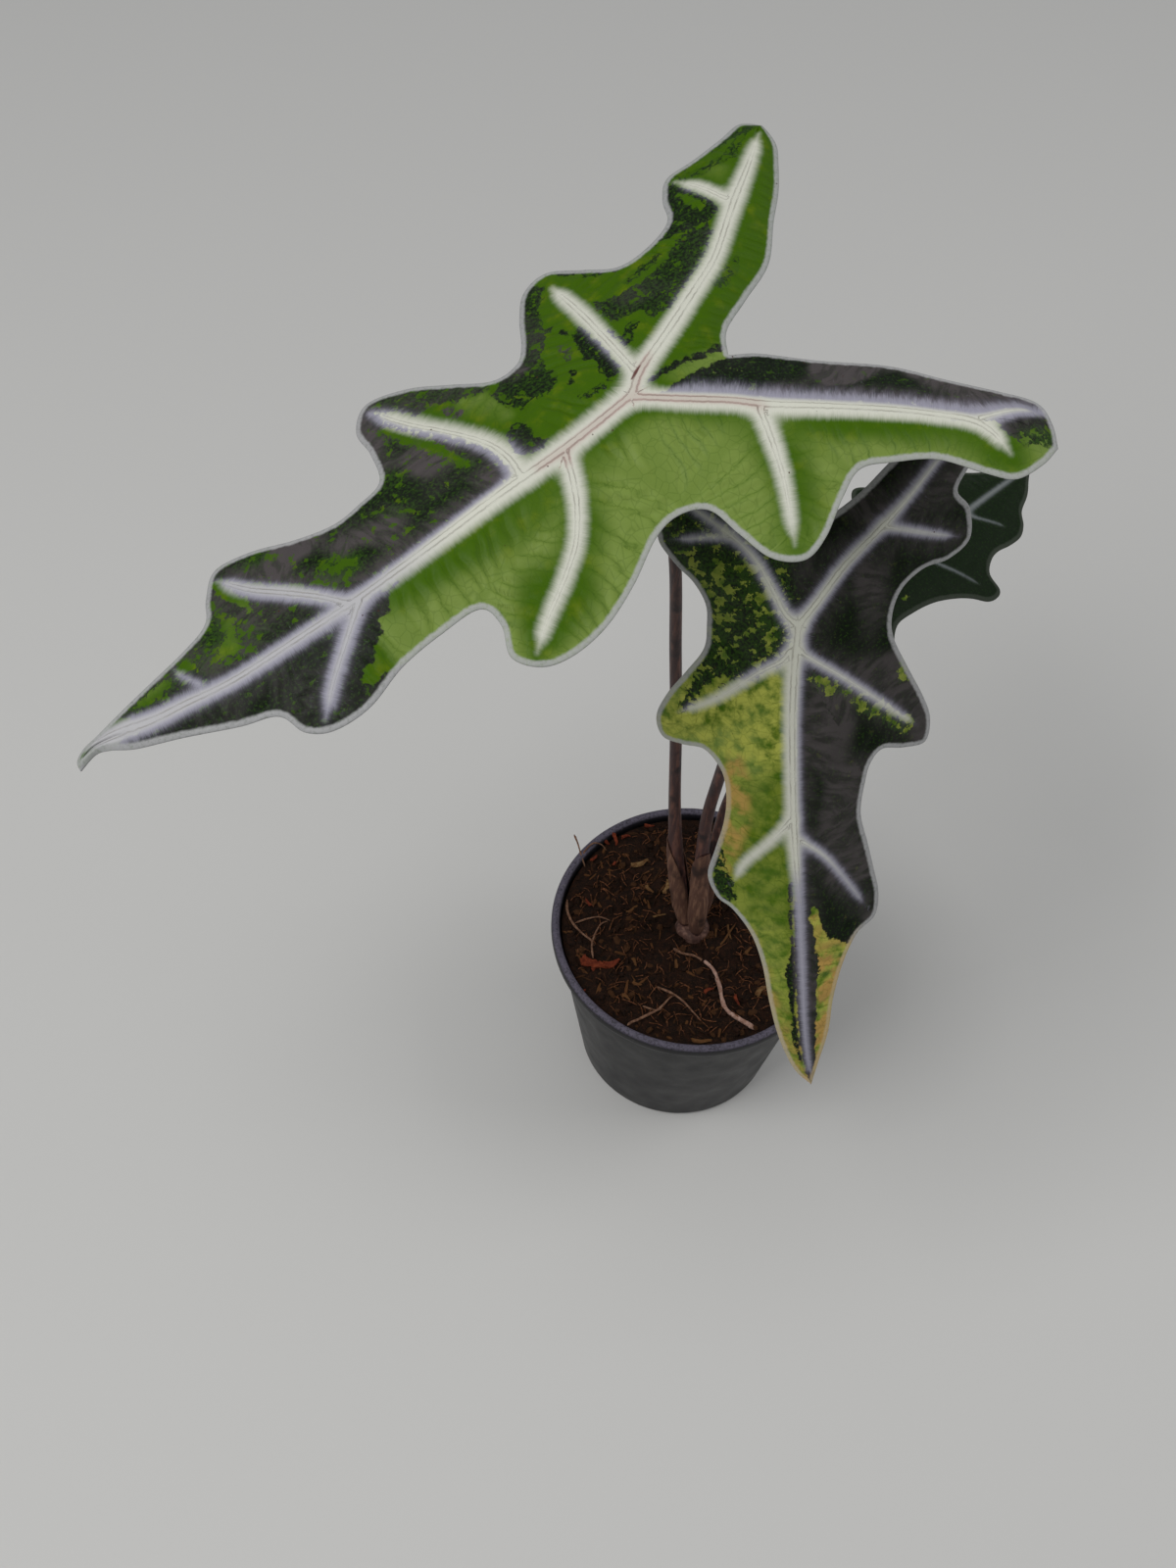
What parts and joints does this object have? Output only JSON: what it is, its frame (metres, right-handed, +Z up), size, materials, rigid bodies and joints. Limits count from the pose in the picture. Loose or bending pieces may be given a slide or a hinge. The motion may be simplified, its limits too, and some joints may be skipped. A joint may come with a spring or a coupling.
{
  "type": "potted plant",
  "caption": "Potted alocasia nobilis with three variegated arrow-shaped lobed leaves, white veins and brown stalks, rooted in dark bark soil in a small black nursery pot.",
  "frame": {"origin": "centre of the pot's flat base, on the surface the pot stands on", "axes": "+Z up out of the pot; -Y is the side the picture was taken from, +X its right"},
  "size_m": [0.3219, 0.2849, 0.4286],
  "materials": {
    "pot_plastic": "matte, slightly dusty on the rim",
    "soil_mix": "moist coir and bark chips, rough",
    "stem_skin": "dry brown sheath",
    "stalk_skin": "smooth purple-brown skin, satin",
    "blade_variegated": "waxy, white-veined, patched lime and near-black green",
    "blade_dark_green": "waxy dark green with pale veins"
  },
  "bodies": {
    "root": {"pot": "pot_plastic", "soil": "soil_mix", "stem_base": "stem_skin", "stalk_large": "stalk_skin", "stalk_front": "stalk_skin", "stalk_small": "stalk_skin", "blade_large": "blade_variegated", "blade_front": "blade_variegated", "blade_small": "blade_dark_green"}
  },
  "joints": []
}
